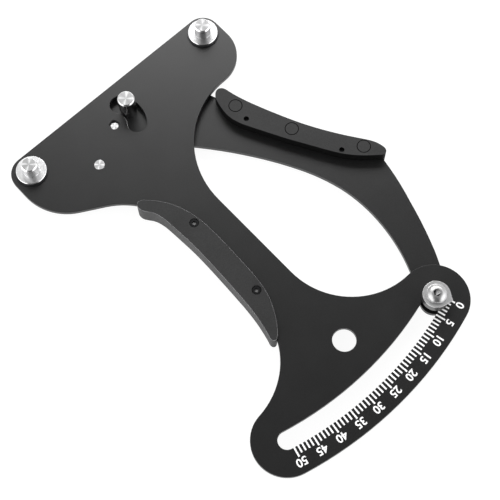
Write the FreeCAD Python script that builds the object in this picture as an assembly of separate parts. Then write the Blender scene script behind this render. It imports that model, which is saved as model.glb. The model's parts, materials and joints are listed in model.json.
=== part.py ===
import FreeCAD, Part
import os
from math import acos, atan2, cos, degrees, hypot, pi, radians, sin, sqrt

Vector = FreeCAD.Vector
up = Vector(0, 0, 1)

# Spoke tension meter, in mm. It is drawn from the pivot's axis: +X along the two fixed posts, +Y
# towards the head, z = 0 on the front face of the front plate. place() then moves every piece, so
# that the centre of the hanging hole is the origin.

# plates and levels
plate_t = 2.6
lever_t = 2.6
spacer_t = 1.3
axial_play = 0.1
rest_drop = 10.0  # from the front plate's face down to the surface the tool lies on
lever_top = -plate_t - spacer_t - axial_play
lever_bottom = lever_top - lever_t
cut_past = 1.0  # how far a cut runs past a face
tolerance = 1e-4

# head of the front plate, round the two fixed posts
post_spacing = 119.1
left_post_x = -48.6
post_y = 8.8
margin_top = 10.0  # from the posts' axes to the head's edges
margin_left = 11.0
margin_right = 9.7
head_drop = 28.2  # from the posts' line down to the head's lower edge
left_side = 8.3  # straight stretch of the head's left side
top_left_r = 10.0
top_right_r = 9.3
low_right_r = 19.2
low_left_r = 29.2
right_post_x = left_post_x + post_spacing
head_left = left_post_x - margin_left
head_right = right_post_x + margin_right
head_top = post_y + margin_top
head_bottom = post_y - head_drop

# waist of the front plate
waist_left = -12.9
waist_right = 11.7
neck_right_r = 48.8
neck_left_r = 40.0
shoulder_slope = 30.0  # degrees, of the straight edge below the left post
ankle_right_r = 40.8
ankle_left_r = 41.2

# foot of the front plate, round the pointer's arc slot
pointer_radius = 189.0
pointer_rest = -73.3  # degrees, measured from +X
travel = 31.5  # degrees that the lever can turn
slot_w = 9.2
lobe_r = 17.7
hang_x = 6.4
hang_y = -165.8
hang_d = 12.0

# kidney slot and the moving post
kidney_radius = 12.0
kidney_w = 10.3
kidney_top = 36.5  # degrees
kidney_bottom = -38.5
moving_post_angle = 12.6
moving_post_d = 9.0
moving_post_height = 11.0  # above the front face
post_chamfer = 0.6
neck_d = 8.4  # of the moving post, where it passes the kidney slot
neck_height = 0.3  # of the neck's end above the front face

# fixed posts
post_d = 8.5
fixed_post_height = 9.1
flange_d = 15.9
flange_t = 1.5
flange_chamfer = 0.25
post_washer_d = 16.9
post_washer_t = 0.5

# screws of the posts and of the pointer
screw_d = 5.0
screw_clearance = 0.1  # radial, in the holes it passes
thread_gap = 0.03  # radial, in the holes it is screwed into
post_thread_depth = 6.5
screw_end_gap = 1.0  # from a screw's end to the bottom of its hole
screw_head_chamfer = 0.55
thread_tail = 0.2  # of thread past a nut
rear_washer_d = 10.0
rear_washer_t = 0.9
rear_head_d = 9.2
rear_head_h = 2.3
low_head_d = 8.6
low_head_h = 2.1
button_d = 9.6
button_h = 2.7
button_rim = 0.6
button_crown_d = 3.8
button_bulge = 0.5  # of the head's curve, past a straight cone
socket_af = 3.2
socket_depth = 1.6
nut_af = 8.0
nut_h = 2.3
pointer_washer_d = 9.5
pointer_washer_t = 0.7

# pivot
pin_shoulder_d = 7.0
pin_front_d = 4.2
pin_recess_d = 5.4
pin_recess = 1.2
pin_thread_d = 4.0
running_gap = 0.05  # radial
spacer_d = 13.6
pivot_washer_d = 11.0
pivot_washer_t = 0.7
pivot_nut_af = 7.0
pivot_nut_h = 2.0

# pointer
bush_d = 8.6
face_gap = 0.3  # under the collar
collar_d = 13.8
collar_h = 5.0
collar_rim = 0.5
pointer_t = 1.0
beak_reach = 2.0  # from the ring to the beak's tip
beak_tip = 0.9
beak_spread = 40.0  # degrees, from the beak's middle to where its flanks leave the ring
flank_angle = 19.0  # degrees, to the middle of a flank
flank_reach = 0.75  # of a flank's middle, past the ring
lever_end_r = 7.1

# spring and its anchors
anchor_x = -20.5
anchor_y = -12.1
anchor_d = 5.5
anchor_flange_d = 7.0
anchor_neck_d = 3.0
anchor_head_d = 5.0
anchor_head_t = 1.2
tab_x = -13.0
tab_y = 10.0
tab_r = 2.6
tab_hole_d = 1.7
wire_d = 0.9
coil_d = 5.0
coil_turns = 10
runs_per_turn = 14
wire_sides = 6
spring_leg = 1.2  # between each loop and the coil

# lever
hub_r = 9.5
kidney_cover = 1.0  # lever behind the kidney slot, past its edge
cover_start = 95.0  # degrees

# grips
grip_front = 2.0  # height above the front plate's face
pocket_gap = 0.1
grip_screw_d = 2.9
grip_head_d = 4.4
grip_head_h = 1.4
grip_bore_d = 4.9
grip_head_sunk = 0.3
grip_socket_af = 2.0
grip_socket_depth = 0.8
grip_blind = 1.5  # from the bottom of a screw's hole to the grip's far face
grip_screw_gap = 0.5  # from a screw's end to the bottom of its hole
left_grip_screws = ((-6.7, -70.3), (-8.0, -118.1))
right_grip_screws = ((52.4, -45.3), (76.4, -92.1))
right_tip_d = 2.8
ring_marks = ((53.4, -35.8), (65.8, -65.7), (86.1, -98.5))
mark_d = 7.4
mark_w = 0.45
mark_depth = 0.25

# places worked out from the sizes above
pointer_x = pointer_radius * cos(radians(pointer_rest))
pointer_y = pointer_radius * sin(radians(pointer_rest))
moving_post_x = kidney_radius * cos(radians(moving_post_angle))
moving_post_y = kidney_radius * sin(radians(moving_post_angle))
rest_level = -rest_drop
collar_bottom = face_gap
collar_top = collar_bottom + collar_h
pointer_top = collar_top + pointer_t
pointer_nut_top = lever_bottom - pointer_washer_t
pointer_nut_bottom = pointer_nut_top - nut_h
shoulder_end = lever_bottom - axial_play
pivot_nut_top = shoulder_end - pivot_washer_t
pivot_nut_bottom = pivot_nut_top - pivot_nut_h
spring_level = (lever_top + lever_bottom) / 2
left_seat = grip_front - grip_head_sunk - grip_head_h  # under the left grip screws' heads
right_seat = rest_level + grip_head_sunk + grip_head_h


def polar(radius, angle, centre=(0, 0)):
    """The point at a radius and an angle in degrees about a centre."""
    return (centre[0] + radius * cos(radians(angle)), centre[1] + radius * sin(radians(angle)))


def arc(centre, radius, start, end):
    """A round edge from one angle to another, in degrees."""
    points = [Vector(*polar(radius, a, centre), 0) for a in (start, (start + end) / 2, end)]
    return Part.Arc(*points).toShape()


def smooth(points, closed=False):
    """Round edges along a smooth line through points, one edge from each point to the next."""
    stops = [Vector(x, y, 0) for x, y in points]
    line = Part.BSplineCurve()
    line.interpolate(Points=stops, PeriodicFlag=closed)
    places = [line.FirstParameter] + [line.parameter(stop) for stop in stops[1:]]
    if closed:
        stops.append(stops[0])
        places.append(line.LastParameter)
    edges = []
    for i in range(len(stops) - 1):
        middle = line.value((places[i] + places[i + 1]) / 2)
        edges.append(Part.Arc(stops[i], middle, stops[i + 1]).toShape())
    return edges


def outline(edges):
    """A closed face of edges that follow each other, joined by straight lines."""
    loop = []
    for i, edge in enumerate(edges):
        loop.append(edge)
        start = edge.valueAt(edge.LastParameter)
        following = edges[(i + 1) % len(edges)]
        end = following.valueAt(following.FirstParameter)
        if start.distanceToPoint(end) > tolerance:
            loop.append(Part.makeLine(start, end))
    return Part.Face(Part.Wire(loop))


def slab(face, bottom, top):
    """A flat face made solid between two levels."""
    raised = face.copy()
    raised.translate(Vector(0, 0, bottom))
    return raised.extrude(Vector(0, 0, top - bottom))


def rod(diameter, x, y, bottom, top):
    return Part.makeCylinder(diameter / 2, top - bottom, Vector(x, y, bottom))


def hexagon(across_flats, x, y, bottom, top):
    corner_r = across_flats / 2 / cos(pi / 6)
    corners = [Vector(*polar(corner_r, 60 * i, (x, y)), 0) for i in range(7)]
    return slab(Part.Face(Part.makePolygon(corners)), bottom, top)


def edges_at(solid, level):
    """The edges of a solid that lie at one level."""
    return [e for e in solid.Edges if all(abs(v.Z - level) < tolerance for v in e.Vertexes)]


def place(shape):
    shape.translate(Vector(-hang_x, -hang_y, 0))
    return shape


def arc_band(radius, width, start, end, bottom, top):
    """A band with round ends, bent round the pivot."""
    half = width / 2
    face = outline([
        arc((0, 0), radius + half, start, end),
        arc(polar(radius, end), half, end, end + 180),
        arc((0, 0), radius - half, end, start),
        arc(polar(radius, start), half, start + 180, start + 360),
    ])
    return slab(face, bottom, top)


def plate_face():
    """The front plate's outline, clockwise from the top left corner."""
    slot_end = pointer_rest - travel
    lobe_right = polar(pointer_radius, pointer_rest)
    lobe_left = polar(pointer_radius, slot_end)
    # the ankles' arcs touch the waist and the lobes
    ankle_right_x = waist_right + ankle_right_r
    across = ankle_right_x - lobe_right[0]
    ankle_right_y = lobe_right[1] + sqrt((ankle_right_r + lobe_r) ** 2 - across ** 2)
    right_meet = degrees(atan2(ankle_right_y - lobe_right[1], across))
    ankle_left_x = waist_left - ankle_left_r
    across = ankle_left_x - lobe_left[0]
    ankle_left_y = lobe_left[1] + sqrt((ankle_left_r + lobe_r) ** 2 - across ** 2)
    left_meet = degrees(atan2(ankle_left_y - lobe_left[1], across))
    # the left shoulder is a straight slope between two arcs
    normal = 90 - shoulder_slope
    low_left = (head_left + low_left_r, head_top - top_left_r - left_side)
    reach = low_left[0] * cos(radians(normal)) + low_left[1] * sin(radians(normal)) - low_left_r
    neck_left_x = waist_left - neck_left_r
    neck_left_y = (reach - neck_left_r - neck_left_x * cos(radians(normal))) / sin(radians(normal))
    return outline([
        arc((head_left + top_left_r, head_top - top_left_r), top_left_r, 180, 90),
        arc((head_right - top_right_r, head_top - top_right_r), top_right_r, 90, 0),
        arc((head_right - low_right_r, head_bottom + low_right_r), low_right_r, 0, -90),
        arc((waist_right + neck_right_r, head_bottom - neck_right_r), neck_right_r, 90, 180),
        arc((ankle_right_x, ankle_right_y), ankle_right_r, 180, 180 + right_meet),
        arc(lobe_right, lobe_r, right_meet, pointer_rest),
        arc((0, 0), pointer_radius + lobe_r, pointer_rest, slot_end),
        arc(lobe_left, lobe_r, slot_end, left_meet - 360),
        arc((ankle_left_x, ankle_left_y), ankle_left_r, left_meet - 180, 0),
        arc((neck_left_x, neck_left_y), neck_left_r, 0, normal),
        arc(low_left, low_left_r, 180 + normal, 180),
    ])


def front_plate():
    blank = slab(plate_face(), -plate_t, 0)
    below, above = -plate_t - cut_past, cut_past
    holes = [
        rod(hang_d, hang_x, hang_y, below, above),
        rod(pin_front_d + 2 * thread_gap, 0, 0, below, above),
        rod(pin_recess_d, 0, 0, -pin_recess, above),
        rod(anchor_d + 2 * thread_gap, anchor_x, anchor_y, below, above),
        arc_band(kidney_radius, kidney_w, kidney_bottom, kidney_top, below, above),
        arc_band(pointer_radius, slot_w, pointer_rest - travel, pointer_rest, below, above),
    ]
    for x in (left_post_x, right_post_x):
        holes.append(rod(screw_d + 2 * screw_clearance, x, post_y, below, above))
    for x, y in left_grip_screws:
        holes.append(rod(grip_screw_d + 2 * screw_clearance, x, y, below, above))
    return blank.cut(holes)


def post(diameter, x, y, bottom, top, base):
    """A turned post with a chamfered tip, on its base."""
    body = rod(diameter, x, y, bottom, top)
    return body.makeChamfer(post_chamfer, edges_at(body, top)).fuse(base)


def thread_hole(x, y, bottom):
    return rod(screw_d + 2 * thread_gap, x, y, bottom, bottom + post_thread_depth)


def fixed_post(x):
    flange_top = post_washer_t + flange_t
    flange = rod(flange_d, x, post_y, post_washer_t, flange_top)
    flange = flange.makeChamfer(flange_chamfer, edges_at(flange, flange_top))
    body = post(post_d, x, post_y, post_washer_t, fixed_post_height, flange)
    return body.cut(thread_hole(x, post_y, post_washer_t))


def post_washers():
    rings = []
    for x in (left_post_x, right_post_x):
        disc = rod(post_washer_d, x, post_y, 0, post_washer_t)
        rings.append(disc.cut(rod(screw_d + 2 * screw_clearance, x, post_y, 0, post_washer_t)))
    return Part.makeCompound(rings)


def post_rear_washers():
    rings = []
    for x in (left_post_x, right_post_x):
        disc = rod(rear_washer_d, x, post_y, -plate_t - rear_washer_t, -plate_t)
        hole = rod(screw_d + 2 * screw_clearance, x, post_y, -plate_t - rear_washer_t, -plate_t)
        rings.append(disc.cut(hole))
    return Part.makeCompound(rings)


def rear_screw(x, y, seat, end, head_d, head_h):
    """A screw put in from behind: its head lies under the seat, with a hex socket."""
    head = rod(head_d, x, y, seat - head_h, seat)
    head = head.makeChamfer(screw_head_chamfer, edges_at(head, seat - head_h))
    shank = rod(screw_d, x, y, seat, end)
    socket = hexagon(socket_af, x, y, seat - head_h, seat - head_h + socket_depth)
    return head.fuse(shank).cut(socket)


def post_screws():
    seat = -plate_t - rear_washer_t
    end = post_washer_t + post_thread_depth - screw_end_gap
    return Part.makeCompound([
        rear_screw(x, post_y, seat, end, rear_head_d, rear_head_h) for x in (left_post_x, right_post_x)
    ])


def moving_post():
    x, y = moving_post_x, moving_post_y
    neck = rod(neck_d, x, y, lever_top, neck_height)
    body = post(moving_post_d, x, y, neck_height, moving_post_height, neck)
    return body.cut(thread_hole(x, y, lever_top))


def moving_post_screw():
    end = lever_top + post_thread_depth - screw_end_gap
    return rear_screw(moving_post_x, moving_post_y, lever_bottom, end, low_head_d, low_head_h)


def pivot_pin():
    front = rod(pin_front_d, 0, 0, -plate_t, -pin_recess)
    shoulder = rod(pin_shoulder_d, 0, 0, shoulder_end, -plate_t)
    thread = rod(pin_thread_d, 0, 0, pivot_nut_bottom - thread_tail, shoulder_end)
    return front.fuse([shoulder, thread])


def pivot_spacer():
    disc = rod(spacer_d, 0, 0, -plate_t - spacer_t, -plate_t)
    return disc.cut(rod(pin_shoulder_d + 2 * running_gap, 0, 0, -plate_t - spacer_t, -plate_t))


def pivot_washer():
    disc = rod(pivot_washer_d, 0, 0, pivot_nut_top, shoulder_end)
    return disc.cut(rod(pin_thread_d + 2 * thread_gap, 0, 0, pivot_nut_top, shoulder_end))


def pivot_nut():
    body = hexagon(pivot_nut_af, 0, 0, pivot_nut_bottom, pivot_nut_top)
    return body.cut(rod(pin_thread_d + 2 * thread_gap, 0, 0, pivot_nut_bottom, pivot_nut_top))


def spring_anchor():
    """A rivet, flush in front, with a neck behind for the spring's loop."""
    flange_bottom = spring_level + wire_d
    head_top_level = spring_level - wire_d
    return rod(anchor_d, anchor_x, anchor_y, -plate_t, 0).fuse([
        rod(anchor_flange_d, anchor_x, anchor_y, flange_bottom, -plate_t),
        rod(anchor_neck_d, anchor_x, anchor_y, head_top_level, flange_bottom),
        rod(anchor_head_d, anchor_x, anchor_y, head_top_level - anchor_head_t, head_top_level),
    ])


def spring_sizes():
    """The spring's length between its anchors, its mean radius, and how far a loop reaches past a hole."""
    mean_r = (coil_d - wire_d) / 2
    through_tab = (mean_r + sqrt(mean_r ** 2 - (lever_t / 2) ** 2)) / 2
    return hypot(tab_x - anchor_x, tab_y - anchor_y), mean_r, through_tab


def bent_wire(points):
    """Wire with a few sides, along short straight runs."""
    way = (points[1] - points[0]).normalize()
    beside = way.cross(up).normalize()
    above = beside.cross(way)
    section = []
    for i in range(wire_sides + 1):
        x, y = polar(wire_d / 2, 360 * i / wire_sides)
        section.append(points[0] + beside * x + above * y)
    return Part.Wire(Part.makePolygon(points)).makePipeShell([Part.makePolygon(section)], True, False, 1)


def return_spring():
    """An extension spring, drawn along +X from the anchor and turned into place."""
    length, mean_r, through_tab = spring_sizes()
    tab_loop_x = length - through_tab
    coil_start = mean_r + spring_leg
    coil_end = tab_loop_x - mean_r - spring_leg
    step = 360 / runs_per_turn
    points = []
    # a loop lying flat round the anchor's neck
    for i in range(1, runs_per_turn + 1):
        x, y = polar(mean_r, step * i)
        points.append(Vector(x, y, 0))
    # a leg on the axis, then the coil
    points.append(Vector(coil_start, 0, 0))
    runs = coil_turns * runs_per_turn
    for i in range(runs + 1):
        y, z = polar(mean_r, step * i - 90)
        points.append(Vector(coil_start + (coil_end - coil_start) * i / runs, y, z))
    points.append(Vector(coil_end, 0, 0))
    # a loop on edge through the tab's hole
    for i in range(runs_per_turn):
        x, z = polar(mean_r, 180 + step * i)
        points.append(Vector(tab_loop_x + x, 0, z))
    spring = bent_wire(points)
    spring.rotate(Vector(0, 0, 0), up, degrees(atan2(tab_y - anchor_y, tab_x - anchor_x)))
    spring.translate(Vector(anchor_x, anchor_y, spring_level))
    return spring


# The lever's edges, from the head down
arm_inner = ((-6.5, -7.4), (24.9, -37.3), (42.9, -61.5), (55.0, -82.5), (63.3, -105.1))
arm_outer = ((49.3, -18.3), (58.4, -42.8), (74.5, -77.8), (84.5, -94.3), (89.3, -102.3),
             (90.7, -106.3), (90.5, -110.0))
# Below the grip, as (share of the way down to the pointer, distance from it along X)
tail_inner = ((0.186, 10.9), (0.44, 9.1), (0.685, 4.0))
tail_outer = ((0.36, 29.5), (0.74, 19.5))
end_inner = 155.0  # degrees, where the edges meet the round end
end_outer = -31.0


def lever_face():
    """The lever's arm, clockwise from the top of the part that covers the kidney slot."""
    cover_r = kidney_radius + kidney_w / 2 + kidney_cover
    shoulder = arm_outer[0]
    turn = degrees(acos(cover_r / hypot(*shoulder)))
    touch = degrees(atan2(shoulder[1], shoulder[0])) + turn
    tail_top = arm_outer[-1][1]
    drop = pointer_y - tail_top
    inner = [(pointer_x + dx, tail_top + share * drop) for share, dx in tail_inner]
    outer = [(pointer_x + dx, tail_top + share * drop) for share, dx in tail_outer]
    end = (pointer_x, pointer_y)
    outer_edge = [*arm_outer, *outer, polar(lever_end_r, end_outer, end)]
    inner_edge = [polar(lever_end_r, end_inner, end), *reversed(inner), *reversed(arm_inner)]
    return outline([
        arc((0, 0), cover_r, cover_start, touch),
        *smooth(outer_edge),
        arc(end, lever_end_r, end_outer, end_inner - 360),
        *smooth(inner_edge),
    ])


def lever_blank(bottom, top):
    """The lever without its holes: arm, hub and the spring's tab."""
    tab_angle = degrees(atan2(tab_y, tab_x))
    tab = outline([
        arc((0, 0), tab_r, tab_angle - 90, tab_angle - 270),
        arc((tab_x, tab_y), tab_r, tab_angle + 90, tab_angle - 90),
    ])
    parts = [rod(2 * hub_r, 0, 0, bottom, top), slab(tab, bottom, top)]
    return slab(lever_face(), bottom, top).fuse(parts).removeSplitter()


def lever_plate():
    below, above = lever_bottom - cut_past, lever_top + cut_past
    holes = [
        rod(pin_shoulder_d + 2 * running_gap, 0, 0, below, above),
        rod(screw_d + 2 * screw_clearance, moving_post_x, moving_post_y, below, above),
        rod(screw_d + 2 * screw_clearance, pointer_x, pointer_y, below, above),
        rod(tab_hole_d, tab_x, tab_y, below, above),
    ]
    for x, y in right_grip_screws:
        holes.append(rod(grip_screw_d + 2 * screw_clearance, x, y, below, above))
    return lever_blank(lever_bottom, lever_top).cut(holes)


# The grips' outlines, from the top left corner down the left side and up the right
left_grip_points = (
    (-22.0, -45.0), (-21.4, -47.6), (-19.1, -50.8), (-17.3, -54.4), (-16.2, -60.0), (-15.6, -68.5),
    (-15.1, -77.0), (-15.0, -86.0), (-15.3, -98.0), (-16.0, -114.0), (-17.1, -127.0), (-18.5, -134.7),
    (-19.8, -139.9), (-20.0, -142.3), (-19.0, -143.3), (-17.4, -143.0), (-15.2, -141.0), (-12.6, -137.8),
    (-9.4, -132.5), (-6.2, -125.6), (-4.1, -117.0), (-3.2, -106.0), (-2.8, -93.5), (-2.7, -80.8),
    (-3.3, -71.0), (-5.2, -62.4), (-8.7, -54.1), (-13.2, -47.6), (-16.6, -43.9), (-18.8, -42.3),
    (-20.6, -42.4), (-21.7, -43.4),
)
right_grip_points = (
    (50.6, -23.2), (49.0, -25.2), (47.8, -28.9), (46.8, -34.0), (47.0, -40.4), (49.6, -47.7),
    (53.6, -55.6), (60.0, -68.0), (67.7, -81.5), (74.3, -92.6), (79.7, -99.4), (85.6, -105.0),
    (89.1, -107.9), (90.9, -108.9), (92.4, -108.6), (93.4, -107.2), (93.4, -104.8), (92.4, -101.1),
    (90.0, -96.8), (86.0, -91.0), (79.3, -80.6), (72.0, -67.4), (65.7, -53.4), (60.5, -40.4),
    (57.8, -32.2), (56.5, -26.8), (55.6, -23.9), (54.0, -22.5), (52.4, -22.3),
)


def round_outline(points):
    """A face inside a smooth closed line."""
    return outline(smooth(points, closed=True))


def grown(face, gap):
    return face.makeOffset2D(gap)


def left_grip_front():
    """The cover, with a pocket for the plate and sunk screw heads."""
    body = slab(round_outline(left_grip_points), -plate_t, grip_front)
    body = body.cut(slab(grown(plate_face(), pocket_gap), -plate_t - cut_past, 0))
    for x, y in left_grip_screws:
        body = body.cut(rod(grip_bore_d, x, y, left_seat, grip_front + cut_past))
        body = body.cut(rod(grip_screw_d + 2 * screw_clearance, x, y, -plate_t - cut_past, left_seat))
    return body


def left_grip_rear():
    body = slab(round_outline(left_grip_points), rest_level, -plate_t)
    for x, y in left_grip_screws:
        body = body.cut(rod(grip_screw_d + 2 * thread_gap, x, y, rest_level + grip_blind, -plate_t))
    return body


def left_grip_screw(x, y):
    head_top = left_seat + grip_head_h
    head = rod(grip_head_d, x, y, left_seat, head_top)
    shank = rod(grip_screw_d, x, y, rest_level + grip_blind + grip_screw_gap, left_seat)
    return head.fuse(shank).cut(hexagon(grip_socket_af, x, y, head_top - grip_socket_depth, head_top))


def left_grip_screw_set():
    return Part.makeCompound([left_grip_screw(x, y) for x, y in left_grip_screws])


def right_grip_front():
    """The lever grip's front half, which wraps the lever's outer edge."""
    body = slab(round_outline(right_grip_points), lever_bottom, grip_front)
    body = body.cut(slab(grown(lever_face(), pocket_gap), lever_bottom - cut_past, lever_top))
    for x, y in right_grip_screws:
        tip = grip_front - grip_blind
        body = body.cut(rod(grip_screw_d + 2 * thread_gap, x, y, lever_top - cut_past, tip))
        body = body.cut(rod(right_tip_d, x, y, tip - cut_past, grip_front + cut_past))
    for x, y in ring_marks:
        mark = rod(mark_d, x, y, grip_front - mark_depth, grip_front)
        body = body.cut(mark.cut(rod(mark_d - 2 * mark_w, x, y, grip_front - mark_depth, grip_front)))
    return body


def right_grip_rear():
    body = slab(round_outline(right_grip_points), rest_level, lever_bottom)
    for x, y in right_grip_screws:
        body = body.cut(rod(grip_bore_d, x, y, rest_level - cut_past, right_seat))
        body = body.cut(rod(grip_screw_d + 2 * screw_clearance, x, y, right_seat, lever_bottom))
    return body


def right_grip_screw(x, y):
    head_bottom = right_seat - grip_head_h
    head = rod(grip_head_d, x, y, head_bottom, right_seat)
    shank = rod(grip_screw_d, x, y, right_seat, grip_front - grip_blind - grip_screw_gap)
    return head.fuse(shank).cut(hexagon(grip_socket_af, x, y, head_bottom, head_bottom + grip_socket_depth))


def right_grip_screw_set():
    return Part.makeCompound([right_grip_screw(x, y) for x, y in right_grip_screws])


def screw_hole(bottom, top):
    return rod(screw_d + 2 * screw_clearance, pointer_x, pointer_y, bottom, top)


def pointer_bush():
    body = rod(bush_d, pointer_x, pointer_y, lever_top, collar_bottom)
    return body.cut(screw_hole(lever_top, collar_bottom))


def pointer_collar():
    body = rod(collar_d, pointer_x, pointer_y, collar_bottom, collar_top)
    body = body.makeChamfer(collar_rim, edges_at(body, collar_bottom))
    return body.cut(screw_hole(collar_bottom, collar_top))


def pointer_plate():
    """A ring with a beak that points away from the pivot, with hollow flanks and a blunt tip."""
    centre = (pointer_x, pointer_y)
    ring_r = collar_d / 2
    tip_r = ring_r + beak_reach
    tip_angle = degrees(beak_tip / 2 / tip_r)
    flanks = []
    for side in (1, -1):
        on_ring = Vector(*polar(ring_r, pointer_rest + side * beak_spread, centre), 0)
        middle = Vector(*polar(ring_r + flank_reach, pointer_rest + side * flank_angle, centre), 0)
        on_tip = Vector(*polar(tip_r, pointer_rest + side * tip_angle, centre), 0)
        flanks.append((on_ring, middle, on_tip))
    face = outline([
        arc(centre, ring_r, pointer_rest + beak_spread, pointer_rest + 360 - beak_spread),
        Part.Arc(*flanks[1]).toShape(),
        Part.Arc(*reversed(flanks[0])).toShape(),
    ])
    return slab(face, collar_top, pointer_top).cut(screw_hole(collar_top, pointer_top))


def button_head():
    """A button head on the pointer's axis, without its socket."""
    half = button_d / 2
    crown_r = button_crown_d / 2
    rim_level = pointer_top + button_rim
    top = pointer_top + button_h
    slope = atan2(half - crown_r, top - rim_level)
    bend_x = (half + crown_r) / 2 + button_bulge * cos(slope)
    bend_z = (rim_level + top) / 2 + button_bulge * sin(slope)
    rim_low = Vector(half, 0, pointer_top)
    rim_high = Vector(half, 0, rim_level)
    crown = Vector(crown_r, 0, top)
    profile = Part.Wire([
        Part.makeLine(Vector(0, 0, pointer_top), rim_low),
        Part.makeLine(rim_low, rim_high),
        Part.Arc(rim_high, Vector(bend_x, 0, bend_z), crown).toShape(),
        Part.makeLine(crown, Vector(0, 0, top)),
        Part.makeLine(Vector(0, 0, top), Vector(0, 0, pointer_top)),
    ])
    head = Part.Face(profile).revolve(Vector(0, 0, 0), up, 360)
    head.translate(Vector(pointer_x, pointer_y, 0))
    return head


def pointer_screw():
    """A button head screw from the front, with a hex socket."""
    shank = rod(screw_d, pointer_x, pointer_y, pointer_nut_bottom - thread_tail, pointer_top)
    top = pointer_top + button_h
    socket = hexagon(socket_af, pointer_x, pointer_y, top - socket_depth, top + cut_past)
    return button_head().fuse(shank).cut(socket)


def pointer_washer():
    body = rod(pointer_washer_d, pointer_x, pointer_y, pointer_nut_top, lever_bottom)
    return body.cut(screw_hole(pointer_nut_top, lever_bottom))


def pointer_nut():
    body = hexagon(nut_af, pointer_x, pointer_y, pointer_nut_bottom, pointer_nut_top)
    return body.cut(rod(screw_d + 2 * thread_gap, pointer_x, pointer_y, pointer_nut_bottom, pointer_nut_top))


pieces = {
    "front_plate": front_plate(),
    "left_fixed_post": fixed_post(left_post_x),
    "right_fixed_post": fixed_post(right_post_x),
    "post_flange_washers": post_washers(),
    "post_rear_washers": post_rear_washers(),
    "post_screws": post_screws(),
    "pivot_pin": pivot_pin(),
    "pivot_spacer": pivot_spacer(),
    "pivot_washer": pivot_washer(),
    "pivot_nut": pivot_nut(),
    "spring_anchor": spring_anchor(),
    "return_spring": return_spring(),
    "left_grip_front": left_grip_front(),
    "left_grip_rear": left_grip_rear(),
    "left_grip_screws": left_grip_screw_set(),
    "lever_plate": lever_plate(),
    "moving_post": moving_post(),
    "moving_post_screw": moving_post_screw(),
    "right_grip_front": right_grip_front(),
    "right_grip_rear": right_grip_rear(),
    "right_grip_screws": right_grip_screw_set(),
    "pointer_bush": pointer_bush(),
    "pointer_collar": pointer_collar(),
    "pointer_plate": pointer_plate(),
    "pointer_screw": pointer_screw(),
    "pointer_washer": pointer_washer(),
    "pointer_nut": pointer_nut(),
}

os.makedirs("parts", exist_ok=True)
for name, shape in pieces.items():
    placed = place(shape)
    placed.exportStep(f"parts/{name}.step")
    box = placed.BoundBox
    print(
        f"{name:22s} solids {len(placed.Solids)} valid {placed.isValid()} volume {placed.Volume:9.1f}"
        f"  x {box.XMin:7.1f} {box.XMax:7.1f}  y {box.YMin:7.1f} {box.YMax:7.1f}"
        f"  z {box.ZMin:6.2f} {box.ZMax:6.2f}"
    )
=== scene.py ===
import json
import math

import bmesh
import bpy
from mathutils import Matrix, Vector

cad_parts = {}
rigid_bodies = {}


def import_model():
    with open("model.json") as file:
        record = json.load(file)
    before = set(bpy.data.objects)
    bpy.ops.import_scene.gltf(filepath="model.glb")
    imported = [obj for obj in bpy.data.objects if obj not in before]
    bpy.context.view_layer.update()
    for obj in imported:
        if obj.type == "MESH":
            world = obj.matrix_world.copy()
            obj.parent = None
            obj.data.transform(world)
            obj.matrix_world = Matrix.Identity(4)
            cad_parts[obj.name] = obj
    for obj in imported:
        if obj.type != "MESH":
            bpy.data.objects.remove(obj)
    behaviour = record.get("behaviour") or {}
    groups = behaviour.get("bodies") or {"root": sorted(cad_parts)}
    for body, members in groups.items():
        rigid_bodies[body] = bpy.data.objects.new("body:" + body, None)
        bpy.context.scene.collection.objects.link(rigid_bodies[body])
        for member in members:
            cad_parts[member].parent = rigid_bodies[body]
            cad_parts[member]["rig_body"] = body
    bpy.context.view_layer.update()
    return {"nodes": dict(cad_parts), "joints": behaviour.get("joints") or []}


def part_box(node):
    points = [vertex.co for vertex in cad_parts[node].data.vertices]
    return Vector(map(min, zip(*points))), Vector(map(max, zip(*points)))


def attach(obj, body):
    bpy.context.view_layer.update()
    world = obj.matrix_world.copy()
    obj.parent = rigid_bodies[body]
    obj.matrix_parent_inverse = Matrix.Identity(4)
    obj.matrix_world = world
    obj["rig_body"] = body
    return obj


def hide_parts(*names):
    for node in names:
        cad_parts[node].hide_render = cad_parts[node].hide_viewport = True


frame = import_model()
nodes = frame["nodes"]
mm = 0.001
pivot = Vector(frame["joints"][0]["pos_m"])
print("frame loaded:", len(nodes), "nodes")


def newMaterial(name):
    mat = bpy.data.materials.new(name)
    mat.use_nodes = True
    return mat, mat.node_tree, mat.node_tree.nodes["Principled BSDF"]


def objectCoordinates(tree, centre=(0, 0, 0)):
    # object coordinates moved so that a pattern is centred on a piece
    coords = tree.nodes.new("ShaderNodeTexCoord")
    mapping = tree.nodes.new("ShaderNodeMapping")
    mapping.vector_type = "POINT"
    mapping.inputs["Location"].default_value = [-c for c in centre]
    tree.links.new(coords.outputs["Object"], mapping.inputs["Vector"])
    return mapping.outputs["Vector"]


def noise(tree, vector, scale, detail, rough=0.5):
    tex = tree.nodes.new("ShaderNodeTexNoise")
    tex.inputs["Scale"].default_value = scale
    tex.inputs["Detail"].default_value = detail
    tex.inputs["Roughness"].default_value = rough
    tree.links.new(vector, tex.inputs["Vector"])
    return tex.outputs["Fac"]


def ramp(tree, value, low, high, start=0.0, end=1.0):
    # maps a grey value onto a range of numbers
    node = tree.nodes.new("ShaderNodeMapRange")
    node.inputs["From Min"].default_value = start
    node.inputs["From Max"].default_value = end
    node.inputs["To Min"].default_value = low
    node.inputs["To Max"].default_value = high
    tree.links.new(value, node.inputs["Value"])
    return node.outputs["Result"]


toneStops = (0.3, 0.7)  # noise values at which a mottled colour is fully dark and fully light


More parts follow.
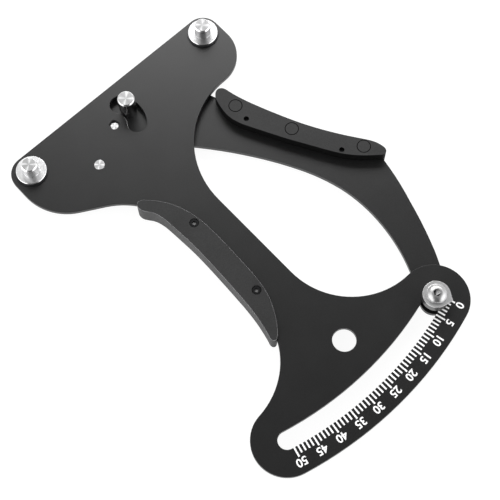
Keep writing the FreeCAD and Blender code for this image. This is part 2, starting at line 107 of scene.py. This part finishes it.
def colourMix(tree, value, dark, light):
    node = tree.nodes.new("ShaderNodeValToRGB")
    for stop, place, colour in zip(node.color_ramp.elements, toneStops, (dark, light)):
        stop.color = (*colour, 1)
        stop.position = place
    tree.links.new(value, node.inputs["Fac"])
    return node.outputs["Color"]


def mixed(tree, first, second, share):
    # two grey values mixed, with a share for the second
    node = tree.nodes.new("ShaderNodeMix")
    node.inputs[0].default_value = share
    tree.links.new(first, node.inputs[2])
    tree.links.new(second, node.inputs[3])
    return node.outputs[0]


def bump(tree, height, strength, distance):
    node = tree.nodes.new("ShaderNodeBump")
    node.inputs["Strength"].default_value = strength
    node.inputs["Distance"].default_value = distance
    tree.links.new(height, node.inputs["Height"])
    return node.outputs["Normal"]


coating = {
    "dark": (0.0005, 0.0005, 0.0005), "light": (0.009, 0.009, 0.0092), "speckle": 0.7,
    "grain": (1800.0, 3.0, 0.7), "cloud": (60.0, 3.0),
    "roughness": 0.37, "spread": 0.09, "bump": (0.3, 0.00003), "ior": 1.5,
}
moulding = {
    "dark": (0.005, 0.005, 0.0051), "light": (0.023, 0.023, 0.0234), "speckle": 0.7,
    "grain": (1800.0, 3.0, 0.7), "cloud": (45.0, 2.0),
    "roughness": 0.62, "spread": 0.07, "bump": (0.45, 0.00006), "ior": 1.42,
}


def grainedSkin(name, finish, lift=1.0, rough=None, ior=None):
    # satin coating or moulded plastic: fine grain over faint clouds, made lighter by lift; lift
    # paints light and shade on the grips
    mat, tree, shader = newMaterial(name)
    vector = objectCoordinates(tree)
    grain = noise(tree, vector, *finish["grain"])
    cloud = noise(tree, vector, *finish["cloud"])
    mottle = mixed(tree, cloud, grain, finish["speckle"])
    dark, light = [[c * lift for c in finish[tone]] for tone in ("dark", "light")]
    tree.links.new(colourMix(tree, mottle, dark, light), shader.inputs["Base Color"])
    rough = finish["roughness"] if rough is None else rough
    spread = finish["spread"]
    tree.links.new(ramp(tree, grain, rough - spread, rough + spread), shader.inputs["Roughness"])
    tree.links.new(bump(tree, grain, *finish["bump"]), shader.inputs["Normal"])
    shader.inputs["IOR"].default_value = finish["ior"] if ior is None else ior
    return mat


turned = {
    "roughness": 0.16, "facedRoughness": 0.32,
    "rings": {"Scale": 2600.0, "Distortion": 1.5, "Detail": 2.0}, "bump": (0.2, 0.00001),
    "smudge": (900.0, 3.0), "smudgeDark": 0.93, "smudgeBlue": 1.01, "smudgeRough": (-0.04, 0.06),
    "flat": (0.93, 0.99),  # how square to the axis a face is, from side to faced end
    # painted highlight sectors on a faced end, standing for the light and dark sectors that light
    # makes on its tool marks, by turns from -X
    "glintSectors": ((0.0, 0.55), (0.05, 0.7), (0.1, 1.05), (0.15, 0.6), (0.24, 0.55), (0.32, 0.66),
                (0.38, 1.1), (0.44, 0.6), (0.54, 0.6), (0.62, 1.1), (0.68, 0.62), (0.76, 0.56),
                (0.82, 0.66), (0.87, 1.1), (0.92, 0.6)),
    "endLevel": (0.0, 0.0005),  # heights over its middle where the end takes over from the flange
}


def facing(tree):
    # one on faces square to the axis of a turned piece, zero on its sides
    coords = tree.nodes.new("ShaderNodeTexCoord")
    split = tree.nodes.new("ShaderNodeSeparateXYZ")
    tree.links.new(coords.outputs["Normal"], split.inputs["Vector"])
    return ramp(tree, split.outputs["Z"], 0.0, 1.0, *turned["flat"])


def colourBlend(tree, kind, amount, first, second):
    node = tree.nodes.new("ShaderNodeMixRGB")
    node.blend_type = kind
    for name, value in (("Fac", amount), ("Color1", first), ("Color2", second)):
        if isinstance(value, bpy.types.NodeSocket):
            tree.links.new(value, node.inputs[name])
        elif name == "Fac":
            node.inputs[name].default_value = value
        else:
            node.inputs[name].default_value = (value, value, value, 1)
    return node.outputs["Color"]


def facedEnd(tree, vector, flat, end, flange):
    # how light a turned piece is: its end in painted highlight sectors, its flange and its sides
    # plain
    angle = tree.nodes.new("ShaderNodeTexGradient")
    angle.gradient_type = "RADIAL"
    tree.links.new(vector, angle.inputs["Vector"])
    glintSectors = tree.nodes.new("ShaderNodeValToRGB")
    marks = glintSectors.color_ramp
    marks.interpolation = "EASE"
    for place, value in turned["glintSectors"]:
        mark = marks.elements.new(place)
        mark.color = (value * end, value * end, value * end, 1)
    marks.elements.remove(marks.elements[0])
    last = marks.elements[-1]
    last.position = 1.0
    last.color = marks.elements[0].color
    tree.links.new(angle.outputs["Fac"], glintSectors.inputs["Fac"])
    height = tree.nodes.new("ShaderNodeSeparateXYZ")
    tree.links.new(vector, height.inputs["Vector"])
    upper = ramp(tree, height.outputs["Z"], 0.0, 1.0, *turned["endLevel"])
    faces = colourBlend(tree, "MIX", upper, flange, glintSectors.outputs["Color"])
    return colourBlend(tree, "MIX", flat, 1.0, faces)


def turnedSteel(name, centre, bright, end=None, flange=1.0, sideRoughness=None):
    # turned piece: fine rings about its own axis, and light and grey sectors of painted highlight
    # on its end
    mat, tree, shader = newMaterial(name)
    vector = objectCoordinates(tree, centre)
    rings = tree.nodes.new("ShaderNodeTexWave")
    rings.wave_type = "RINGS"
    rings.rings_direction = "Z"
    for key, value in turned["rings"].items():
        rings.inputs[key].default_value = value
    tree.links.new(vector, rings.inputs["Vector"])
    smudge = noise(tree, vector, *turned["smudge"])
    darker = [bright * turned["smudgeDark"]] * 3
    surface = colourMix(tree, smudge, darker, (bright, bright, bright * turned["smudgeBlue"]))
    flat = facing(tree)
    if end is not None:
        ends = facedEnd(tree, vector, flat, end, flange)
        surface = colourBlend(tree, "MULTIPLY", 1.0, surface, ends)
    tree.links.new(surface, shader.inputs["Base Color"])
    side = turned["roughness"] if sideRoughness is None else sideRoughness
    rough = tree.nodes.new("ShaderNodeMath")
    rough.operation = "ADD"
    tree.links.new(ramp(tree, flat, side, turned["facedRoughness"]), rough.inputs[0])
    tree.links.new(ramp(tree, smudge, *turned["smudgeRough"]), rough.inputs[1])
    tree.links.new(rough.outputs["Value"], shader.inputs["Roughness"])
    tree.links.new(bump(tree, rings.outputs["Fac"], *turned["bump"]), shader.inputs["Normal"])
    shader.inputs["Metallic"].default_value = 1.0
    return mat


metalGrain = {
    "scale": (2500.0, 3.0), "darker": 0.85, "smoother": 0.05, "rougher": 0.07,
    "bump": (0.15, 0.00002),
}


def plainMetal(name, colour, roughness):
    mat, tree, shader = newMaterial(name)
    fine = noise(tree, objectCoordinates(tree), *metalGrain["scale"])
    darker = [c * metalGrain["darker"] for c in colour]
    tree.links.new(colourMix(tree, fine, darker, colour), shader.inputs["Base Color"])
    low, high = roughness - metalGrain["smoother"], roughness + metalGrain["rougher"]
    tree.links.new(ramp(tree, fine, low, high), shader.inputs["Roughness"])
    tree.links.new(bump(tree, fine, *metalGrain["bump"]), shader.inputs["Normal"])
    shader.inputs["Metallic"].default_value = 1.0
    return mat


def dull(name, dark, light, grain, roughness):
    # printing ink or nylon, with a faint grain
    mat, tree, shader = newMaterial(name)
    fine = noise(tree, objectCoordinates(tree), *grain)
    tree.links.new(colourMix(tree, fine, [dark] * 3, [light] * 3), shader.inputs["Base Color"])
    tree.links.new(ramp(tree, fine, *roughness), shader.inputs["Roughness"])
    return mat


def middle(node):
    low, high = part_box(node)
    return (low + high) / 2


plateCoat = grainedSkin("satinCoating", coating)
gripPlastic = grainedSkin("mouldedGrip", moulding)
# painted highlight: the left grip's rounded top edges get a far lighter plastic
gripEdgeHighlight = grainedSkin("mouldedEdgeHighlight", moulding, lift=24.0, rough=0.4)
# painted light: the grips' outer walls get a lighter plastic
gripWallLit = grainedSkin("mouldedWallLit", moulding, lift=4.2)
# painted shade: the lever grip's inner wall and ring grooves get a near-black plastic
gripShade = grainedSkin("mouldedShade", moulding, lift=0.1, rough=0.8, ior=1.25)
nylon = dull("blackNylon", dark=0.012, light=0.018, grain=(3000.0, 2.0), roughness=(0.45, 0.6))
# white print for the scale, also used as a painted highlight in the pointer screw's socket
inkAndGlint = dull("scaleInkAndSocketGlint", dark=0.92, light=0.97, grain=(4000.0, 2.0), roughness=(0.5, 0.65))
blackOxide = plainMetal("blackOxide", colour=(0.05, 0.05, 0.052), roughness=0.42)
blackScrew = plainMetal("blackScrew", colour=(0.02, 0.02, 0.021), roughness=0.45)
# painted highlight: lighter grey on the floors of the black grip screws' hex sockets
socketFloorGlint = plainMetal("socketFloorGlint", colour=(0.2, 0.2, 0.2), roughness=0.5)
# painted highlight: bright metal on the kidney slot's inner wall
slotGlintMetal = plainMetal("slotGlintMetal", colour=(0.75, 0.75, 0.75), roughness=0.55)
zincPlate = plainMetal("zincPlate", colour=(0.72, 0.73, 0.74), roughness=0.3)
springWire = plainMetal("springWire", colour=(0.45, 0.45, 0.46), roughness=0.33)
turnedPieces = {
    "left_fixed_post": {"bright": 0.9, "end": 0.9, "flange": 0.88},
    # the same post as the left one, with its end and flange painted darker as painted shade
    "right_fixed_post": {"bright": 0.9, "end": 0.4, "flange": 0.47},
    "moving_post": {"bright": 0.6, "end": 0.9},
    "pivot_pin": {"bright": 0.72, "end": 1.25}, "spring_anchor": {"bright": 0.7, "end": 1.2},
    "pointer_collar": {"bright": 0.2, "sideRoughness": 0.4},
    "pointer_plate": {"bright": 0.8, "sideRoughness": 0.35},
    "pointer_screw": {"bright": 0.52, "sideRoughness": 0.3},
}
nodeMaterials = {
    "front_plate": plateCoat, "lever_plate": plateCoat,
    "post_flange_washers": blackOxide, "post_rear_washers": zincPlate, "post_screws": blackOxide,
    "pivot_spacer": nylon, "pivot_washer": zincPlate, "pivot_nut": zincPlate,
    "return_spring": springWire,
    "left_grip_front": gripPlastic, "left_grip_rear": gripPlastic,
    "right_grip_front": gripPlastic, "right_grip_rear": gripPlastic,
    "left_grip_screws": blackScrew, "right_grip_screws": blackOxide,
    "moving_post_screw": blackOxide, "pointer_bush": nylon,
    "pointer_washer": zincPlate, "pointer_nut": zincPlate,
}
for name, how in turnedPieces.items():
    # the pointer's ring is centred on its screw, and its beak puts its own middle elsewhere
    centre = middle("pointer_screw" if name == "pointer_plate" else name)
    nodeMaterials[name] = turnedSteel("turned_" + name, centre, **how)
for name, obj in nodes.items():
    obj.data.materials.clear()
    obj.data.materials.append(nodeMaterials[name])
print("materials on", len(nodes), "nodes")

soft = {
    "sharp": 32, "flat": 0.3,  # angles in degrees: of an edge to round, and of faces to join
    "merge": 2e-6, "near": 1e-5,  # in metres
    "segments": 3, "clear": 4.3, "weight": 100,
}
rowShift = Vector((-6.4, 165.8))  # from the pivot's axis to the origin, in millimetres


def fromPivot(points):
    return [tuple(Vector(p) + rowShift) for p in points]


leftScrews = fromPivot([(-6.7, -70.3), (-8.0, -118.1)])
rightScrews = fromPivot([(52.4, -45.3), (76.4, -92.1)])
ringMarks = fromPivot([(53.4, -35.8), (65.8, -65.7), (86.1, -98.5)])

pointerShape = {
    "ring": 6.95, "turn": 7.0, "reach": 2.0, "beak": 0.72, "hollow": 1.7,
    "socket": 2.4, "head": 1.06, "socketFloorGlint": 1.9, "socketDepth": 1.0,
}
pointerAxis = middle("pointer_screw").xy
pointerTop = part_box("pointer_screw")[1].z
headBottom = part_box("pointer_plate")[1].z


def trimPointer(bm, name):
    # the beak turned to the zero mark and as short as the gap to it, and the screw's head full size
    ring = pointerShape["ring"] * mm
    reach = pointerShape["reach"] * mm
    for vert in bm.verts:
        offset = vert.co.xy - pointerAxis
        out = offset.length
        if name == "pointer_plate":
            if out > ring:
                past = ((out - ring) / reach) ** pointerShape["hollow"]
                offset *= (ring + past * reach * pointerShape["beak"]) / out
            offset.rotate(Matrix.Rotation(math.radians(pointerShape["turn"]), 2))
        elif out > pointerShape["socket"] * mm and vert.co.z > headBottom - soft["near"]:
            offset *= pointerShape["head"]
        vert.co.xy = pointerAxis + offset


# the arc of the kidney slot's inner wall that gets the painted highlight
slotGlintArc = {"inside": 6.5, "outside": 8.0, "from": -62.0, "to": 2.0}
gripSides = {"clear": 5.0, "ring": 4.0, "ringFloor": 1.95, "inward": 0.3, "socketFloorGlint": 1.2}
# how much a face's normal may point up on a wall or at the slot, and has to on a socket's floor
upright = {"wall": 0.5, "slot": 0.95, "floor": 0.9}


def onSlotWall(face):
    # the kidney slot's inner wall, given a bright metal as a painted highlight
    offset = face.calc_center_median().xy - pivot.xy
    angle = math.degrees(math.atan2(offset.y, offset.x))
    return (abs(face.normal.z) < upright["slot"] and slotGlintArc["from"] < angle < slotGlintArc["to"]
            and slotGlintArc["inside"] * mm < offset.length < slotGlintArc["outside"] * mm)


def inGripSocket(face):
    # the floor of a grip screw's hex socket, made lighter grey as a painted highlight
    low = face.calc_center_median().z < gripSides["socketFloorGlint"] * mm
    return face.normal.z > upright["floor"] and low


def inPointerSocket(face):
    # the floor of the pointer screw's hex socket, made white as a painted highlight
    centre = face.calc_center_median()
    near = (centre.xy - pointerAxis).length < pointerShape["socketFloorGlint"] * mm
    deep = pointerTop - centre.z > pointerShape["socketDepth"] * mm
    return face.normal.z > upright["floor"] and near and deep


def nearAny(place, points, reach):
    return any((place - Vector(point) * mm).length < reach * mm for point in points)


def onLeftWall(face):
    # the left grip's outer wall, clear of its screw holes, made lighter as painted light from the
    # pale floor
    atScrew = nearAny(face.calc_center_median().xy, leftScrews, gripSides["clear"])
    return abs(face.normal.z) < upright["wall"] and not atScrew


def onRightShade(face):
    # the lever grip's inner wall and the grooves of its ring marks, which get painted shade
    centre = face.calc_center_median()
    sunk = centre.z < gripSides["ringFloor"] * mm
    wall = abs(face.normal.z) < upright["wall"] and face.normal.x < gripSides["inward"]
    return wall or sunk and nearAny(centre.xy, ringMarks, gripSides["ring"])


def softened(name, width, level=None, avoid=(), clear=soft["clear"], trim=None, paintedLight=()):
    # a copy of a CAD node with its doubles merged and its sharp edges rounded: those at one level,
    # clear of the holes to avoid, or all of them; the faces that a test picks, or the rounded edges
    # where there is no test, can get a material of their own, which paints light or shade on them
    source = nodes[name]
    bm = bmesh.new()
    bm.from_mesh(source.data)
    bmesh.ops.remove_doubles(bm, verts=bm.verts, dist=soft["merge"])
    bmesh.ops.dissolve_limit(bm, angle_limit=math.radians(soft["flat"]), verts=bm.verts,
                             edges=bm.edges)
    if trim:
        trim(bm, name)
    picked = []
    for edge in bm.edges:
        if len(edge.link_faces) != 2 or edge.calc_face_angle(0) < math.radians(soft["sharp"]):
            continue
        if level is not None and max(abs(v.co.z - level * mm) for v in edge.verts) > soft["near"]:
            continue
        if not nearAny((edge.verts[0].co.xy + edge.verts[1].co.xy) / 2, avoid, clear):
            picked.append(edge)
    rounded = bmesh.ops.bevel(bm, geom=picked, offset=width * mm, offset_type="OFFSET",
                              segments=soft["segments"], profile=0.5, affect="EDGES",
                              clamp_overlap=True, material=-1)
    for index, (chosen, finish) in enumerate(paintedLight, 1):
        for face in [face for face in bm.faces if chosen(face)] if chosen else rounded["faces"]:
            face.material_index = index
    mesh = bpy.data.meshes.new(name + "Soft")
    bm.to_mesh(mesh)
    bm.free()
    obj = bpy.data.objects.new(name + "Soft", mesh)
    bpy.context.scene.collection.objects.link(obj)
    for finish in [nodeMaterials[name]] + [finish for chosen, finish in paintedLight]:
        mesh.materials.append(finish)
    for poly in mesh.polygons:
        poly.use_smooth = True
    mesh.set_sharp_from_angle(angle=math.radians(soft["sharp"]))
    weighted = obj.modifiers.new("weightedNormals", "WEIGHTED_NORMAL")
    weighted.keep_sharp = True
    weighted.weight = soft["weight"]
    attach(obj, source["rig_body"])
    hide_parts(name)
    return obj, len(picked)


softEdges = {
    "front_plate": {"width": 0.2, "paintedLight": [(onSlotWall, slotGlintMetal)]},
    "lever_plate": {"width": 0.2},
    # the left grip's outer wall gets painted light and its rounded top edges a painted highlight
    "left_grip_front": {"width": 0.7, "level": 2.0, "avoid": leftScrews, "clear": 3.4,
                        "paintedLight": [(onLeftWall, gripWallLit), (None, gripEdgeHighlight)]},
    "left_grip_screws": {"width": 0.1, "paintedLight": [(inGripSocket, socketFloorGlint)]},
    "left_grip_rear": {"width": 0.8, "level": -10.0, "avoid": leftScrews,
                       "paintedLight": [(onLeftWall, gripWallLit)]},
    "right_grip_front": {"width": 0.45, "level": 2.0, "avoid": rightScrews + ringMarks,
                         "paintedLight": [(onRightShade, gripShade)]},
    "right_grip_rear": {"width": 0.8, "level": -10.0, "avoid": rightScrews},
    "left_fixed_post": {"width": 0.08}, "right_fixed_post": {"width": 0.08},
    "moving_post": {"width": 0.08}, "pivot_pin": {"width": 0.15}, "spring_anchor": {"width": 0.12},
    "pointer_collar": {"width": 0.08}, "pointer_plate": {"width": 0.12, "trim": trimPointer},
    # the pointer screw's socket floor gets white as a painted highlight
    "pointer_screw": {"width": 0.1, "trim": trimPointer, "paintedLight": [(inPointerSocket, inkAndGlint)]},
    "post_flange_washers": {"width": 0.1},
}
for name, how in softEdges.items():
    piece, count = softened(name, **how)
    print("softened", name, count, "edges,", len(piece.data.polygons), "faces")

scale = {
    # angle of a mark: zero, and what it gains with the mark's number, its square and its cube
    "zero": -72.5, "gain": (-0.5885, -0.0022, 0.000024), "count": 51, "longEvery": 5,
    "inner": 193.6, "short": 3.9, "long": 5.1, "width": 0.84, "film": 0.04,
    "numberRadius": 201.2, "numberHeight": 4.0, "capShare": 0.7, "bold": 0.11,
}
film = scale["film"] * mm


def markAngle(value):
    linear, square, cube = scale["gain"]
    return scale["zero"] + value * (linear + value * (square + value * cube))


def scaleTicks():
    bm = bmesh.new()
    for i in range(scale["count"]):
        length = scale["short"] if i % scale["longEvery"] else scale["long"]
        size = Vector((length * mm, scale["width"] * mm, film))
        out = Vector(((scale["inner"] + length / 2) * mm, 0, 0))
        turn = Matrix.Rotation(math.radians(markAngle(i)), 3, "Z")
        verts = bmesh.ops.create_cube(bm, size=1.0)["verts"]
        bmesh.ops.scale(bm, vec=size, verts=verts)
        bmesh.ops.translate(bm, vec=out, verts=verts)
        bmesh.ops.rotate(bm, cent=(0, 0, 0), matrix=turn, verts=verts)
        bmesh.ops.translate(bm, vec=Vector((pivot.x, pivot.y, film / 2)), verts=verts)
    mesh = bpy.data.meshes.new("scaleTicks")
    bm.to_mesh(mesh)
    bm.free()
    obj = bpy.data.objects.new("scaleTicks", mesh)
    bpy.context.scene.collection.objects.link(obj)
    mesh.materials.append(inkAndGlint)
    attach(obj, "frame")


def scaleNumber(value):
    curve = bpy.data.curves.new("number" + str(value), "FONT")
    curve.body = str(value)
    curve.size = scale["numberHeight"] * mm / scale["capShare"]
    curve.align_x = "CENTER"
    curve.align_y = "CENTER"
    curve.offset = scale["bold"] * mm
    curve.extrude = film / 2
    text = bpy.data.objects.new("text" + str(value), curve)
    bpy.context.scene.collection.objects.link(text)
    bpy.context.view_layer.update()
    shown = text.evaluated_get(bpy.context.evaluated_depsgraph_get())
    mesh = bpy.data.meshes.new_from_object(shown)
    bpy.data.objects.remove(text)
    angle = math.radians(markAngle(value))
    radius = scale["numberRadius"] * mm
    across, up = radius * math.cos(angle), radius * math.sin(angle)
    place = Vector((pivot.x + across, pivot.y + up, film / 2))
    # the digits' tops point away from the pivot
    mesh.transform(Matrix.Translation(place) @ Matrix.Rotation(angle - math.radians(90), 4, "Z"))
    obj = bpy.data.objects.new("number" + str(value), mesh)
    bpy.context.scene.collection.objects.link(obj)
    mesh.materials.clear()
    mesh.materials.append(inkAndGlint)
    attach(obj, "frame")


scaleTicks()
for value in range(0, scale["count"], scale["longEvery"]):
    scaleNumber(value)
print("scale printed")

camera = {
    "place": (-0.1454, -0.0955, 0.5783), "turn": (20.477, 0.446, -42.816),
    "lens": 88.23, "near": 0.01,
}
cam = bpy.data.objects.new("camera", bpy.data.cameras.new("camera"))
cam.location = camera["place"]
cam.rotation_euler = [math.radians(a) for a in camera["turn"]]
cam.data.lens = camera["lens"]
cam.data.clip_start = camera["near"]
bpy.context.scene.collection.objects.link(cam)
bpy.context.scene.camera = cam

floor = {
    "place": (0, 0.1, -0.0101), "half": 3.0, "colour": 0.85, "roughness": 0.8,
    "white": 0.93, "shadow": 0.14,
}


def seenDirectly(tree):
    # one for camera, glossy and transmission rays, and zero for the light that falls on things
    paths = tree.nodes.new("ShaderNodeLightPath")
    total = paths.outputs["Is Camera Ray"]
    for kind in ("Is Glossy Ray", "Is Transmission Ray"):
        most = tree.nodes.new("ShaderNodeMath")
        most.operation = "MAXIMUM"
        tree.links.new(total, most.inputs[0])
        tree.links.new(paths.outputs[kind], most.inputs[1])
        total = most.outputs["Value"]
    return total


def whiteFloor():
    # a plain pale surface for the light that falls on it, seen as white but for the object's shadow
    mat, tree, shader = newMaterial("tableWhite")
    shader.inputs["Base Color"].default_value = (*[floor["colour"]] * 3, 1)
    shader.inputs["Roughness"].default_value = floor["roughness"]
    shade = tree.nodes.new("ShaderNodeBsdfDiffuse")
    shade.inputs["Color"].default_value = (*[floor["shadow"]] * 3, 1)
    glow = tree.nodes.new("ShaderNodeEmission")
    glow.inputs["Strength"].default_value = floor["white"]
    both = tree.nodes.new("ShaderNodeAddShader")
    tree.links.new(shade.outputs["BSDF"], both.inputs[0])
    tree.links.new(glow.outputs["Emission"], both.inputs[1])
    blend = tree.nodes.new("ShaderNodeMixShader")
    tree.links.new(seenDirectly(tree), blend.inputs["Fac"])
    tree.links.new(shader.outputs["BSDF"], blend.inputs[1])
    tree.links.new(both.outputs["Shader"], blend.inputs[2])
    tree.links.new(blend.outputs["Shader"], tree.nodes["Material Output"].inputs["Surface"])
    return mat


bm = bmesh.new()
bmesh.ops.create_grid(bm, x_segments=1, y_segments=1, size=floor["half"])
bmesh.ops.translate(bm, vec=Vector(floor["place"]), verts=bm.verts)
mesh = bpy.data.meshes.new("tableTop")
bm.to_mesh(mesh)
bm.free()
table = bpy.data.objects.new("tableTop", mesh)
bpy.context.scene.collection.objects.link(table)
mesh.materials.append(whiteFloor())

# light tent: bright walls, dim overhead where the flat faces look, and a dark gap on one side
room = {
    "farWall": 0.75, "nearWall": 2.3, "wallTurn": (-0.5, 0.1),
    "overhead": 0.1, "overheadWay": (0.2, 0.12, 0.97), "overheadEdge": (0.8, 0.95),
    "gapWay": (-0.614, -0.789, 0.0), "gapStart": (0.0, 0.25), "gapEdge": (0.42, 0.56),
    "gapLeft": 0.05, "seen": 1.0,
}
world = bpy.data.worlds.new("studio")
bpy.context.scene.world = world
world.use_nodes = True
sky = world.node_tree
way = sky.nodes.new("ShaderNodeTexCoord")


def toward(direction):
    # cosine between the way looked and a direction
    node = sky.nodes.new("ShaderNodeVectorMath")
    node.operation = "DOT_PRODUCT"
    sky.links.new(way.outputs["Generated"], node.inputs[0])
    node.inputs[1].default_value = direction
    return node.outputs["Value"]


def combined(operation, first, second=None):
    node = sky.nodes.new("ShaderNodeMath")
    node.operation = operation
    sky.links.new(first, node.inputs[0])
    if second is not None:
        sky.links.new(second, node.inputs[1])
    return node.outputs["Value"]


gapAcross = (-room["gapWay"][1], room["gapWay"][0], 0.0)
across = combined("ABSOLUTE", toward(gapAcross))
offMiddle = ramp(sky, across, room["gapLeft"], 1.0, *room["gapEdge"])
farSide = ramp(sky, toward(room["gapWay"]), 1.0, room["gapLeft"], *room["gapStart"])
gap = combined("MAXIMUM", offMiddle, farSide)
walls = ramp(sky, toward(room["gapWay"]), room["farWall"], room["nearWall"], *room["wallTurn"])
overhead = ramp(sky, toward(room["overheadWay"]), 1.0, room["overhead"], *room["overheadEdge"])
tent = combined("MULTIPLY", combined("MULTIPLY", walls, overhead), gap)
lit = sky.nodes["Background"]
sky.links.new(tent, lit.inputs["Strength"])
lit.inputs["Color"].default_value = (1, 1, 1, 1)
white = sky.nodes.new("ShaderNodeBackground")
white.inputs["Strength"].default_value = room["seen"]
paths = sky.nodes.new("ShaderNodeLightPath")
choice = sky.nodes.new("ShaderNodeMixShader")
sky.links.new(paths.outputs["Is Camera Ray"], choice.inputs["Fac"])
sky.links.new(lit.outputs["Background"], choice.inputs[1])
sky.links.new(white.outputs["Background"], choice.inputs[2])
sky.links.new(choice.outputs["Shader"], sky.nodes["World Output"].inputs["Surface"])

lamps = {
    "keyLight": {"place": (0.52, 0.74, 0.72), "size": (0.7, 0.5), "power": 7.8},
    "sideLight": {"place": (0.95, 0.3, 0.7), "size": (0.6, 0.5), "power": 1.7},
}
aim = Vector((0.0, 0.08, 0.0))  # about the middle of the object


def softBox(name, place, size, power):
    light = bpy.data.lights.new(name, "AREA")
    light.shape = "RECTANGLE"
    light.size, light.size_y = size
    light.energy = power
    obj = bpy.data.objects.new(name, light)
    obj.location = place
    obj.rotation_euler = (aim - Vector(place)).to_track_quat("-Z", "Y").to_euler()
    bpy.context.scene.collection.objects.link(obj)


for name, lamp in lamps.items():
    softBox(name, **lamp)

bpy.context.scene.view_settings.view_transform = "Standard"
print("camera and light set")
